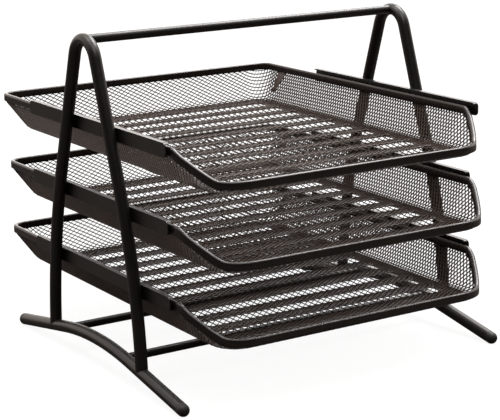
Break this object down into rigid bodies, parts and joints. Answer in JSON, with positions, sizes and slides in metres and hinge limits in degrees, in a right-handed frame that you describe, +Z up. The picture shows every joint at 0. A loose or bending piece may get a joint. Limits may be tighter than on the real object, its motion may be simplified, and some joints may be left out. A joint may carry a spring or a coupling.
{
  "type": "three-tier metal letter tray",
  "caption": "Desk letter tray: pressed mesh trays with folded rims slide out of channel runners on bent-tube side frames with arched feet, stretchers and a carrying handle.",
  "frame": {"origin": "on the desk, under the middle of the whole object's outline", "axes": "+X to the right of someone facing the open front, +Y to the back, +Z up; the trays slide out along -Y"},
  "size_m": [0.2936, 0.3428, 0.2594],
  "materials": {
    "frame_coat": "satin black powder coat on steel tube and sheet",
    "rim_coat": "satin black powder coat on folded steel strip",
    "mesh_coat": "satin black powder coat on expanded steel mesh",
    "plug_plastic": "matt black moulded plastic"
  },
  "bodies": {
    "stand": {"end_plug_front_left": "plug_plastic", "end_plug_front_right": "plug_plastic", "end_plug_rear_left": "plug_plastic", "end_plug_rear_right": "plug_plastic", "foot_tube_left": "frame_coat", "foot_tube_right": "frame_coat", "handle_bar": "frame_coat", "runner_bottom_left": "frame_coat", "runner_bottom_right": "frame_coat", "runner_middle_left": "frame_coat", "runner_middle_right": "frame_coat", "runner_top_left": "frame_coat", "runner_top_right": "frame_coat", "side_frame_left": "frame_coat", "side_frame_right": "frame_coat", "stretcher_front": "frame_coat", "stretcher_rear": "frame_coat"},
    "top_tray": {"tray_basket_top": "mesh_coat", "tray_rim_top": "rim_coat"},
    "middle_tray": {"tray_basket_middle": "mesh_coat", "tray_rim_middle": "rim_coat"},
    "bottom_tray": {"tray_basket_bottom": "mesh_coat", "tray_rim_bottom": "rim_coat"}
  },
  "joints": [
    {"name": "top_tray_slide", "type": "slide", "parent": "stand", "child": "top_tray", "axis": [0, -1, 0], "range_m": [0, 0.28]},
    {"name": "middle_tray_slide", "type": "slide", "parent": "stand", "child": "middle_tray", "axis": [0, -1, 0], "range_m": [-0.0068, 0.2732]},
    {"name": "bottom_tray_slide", "type": "slide", "parent": "stand", "child": "bottom_tray", "axis": [0, -1, 0], "range_m": [-0.0058, 0.2742]}
  ]
}
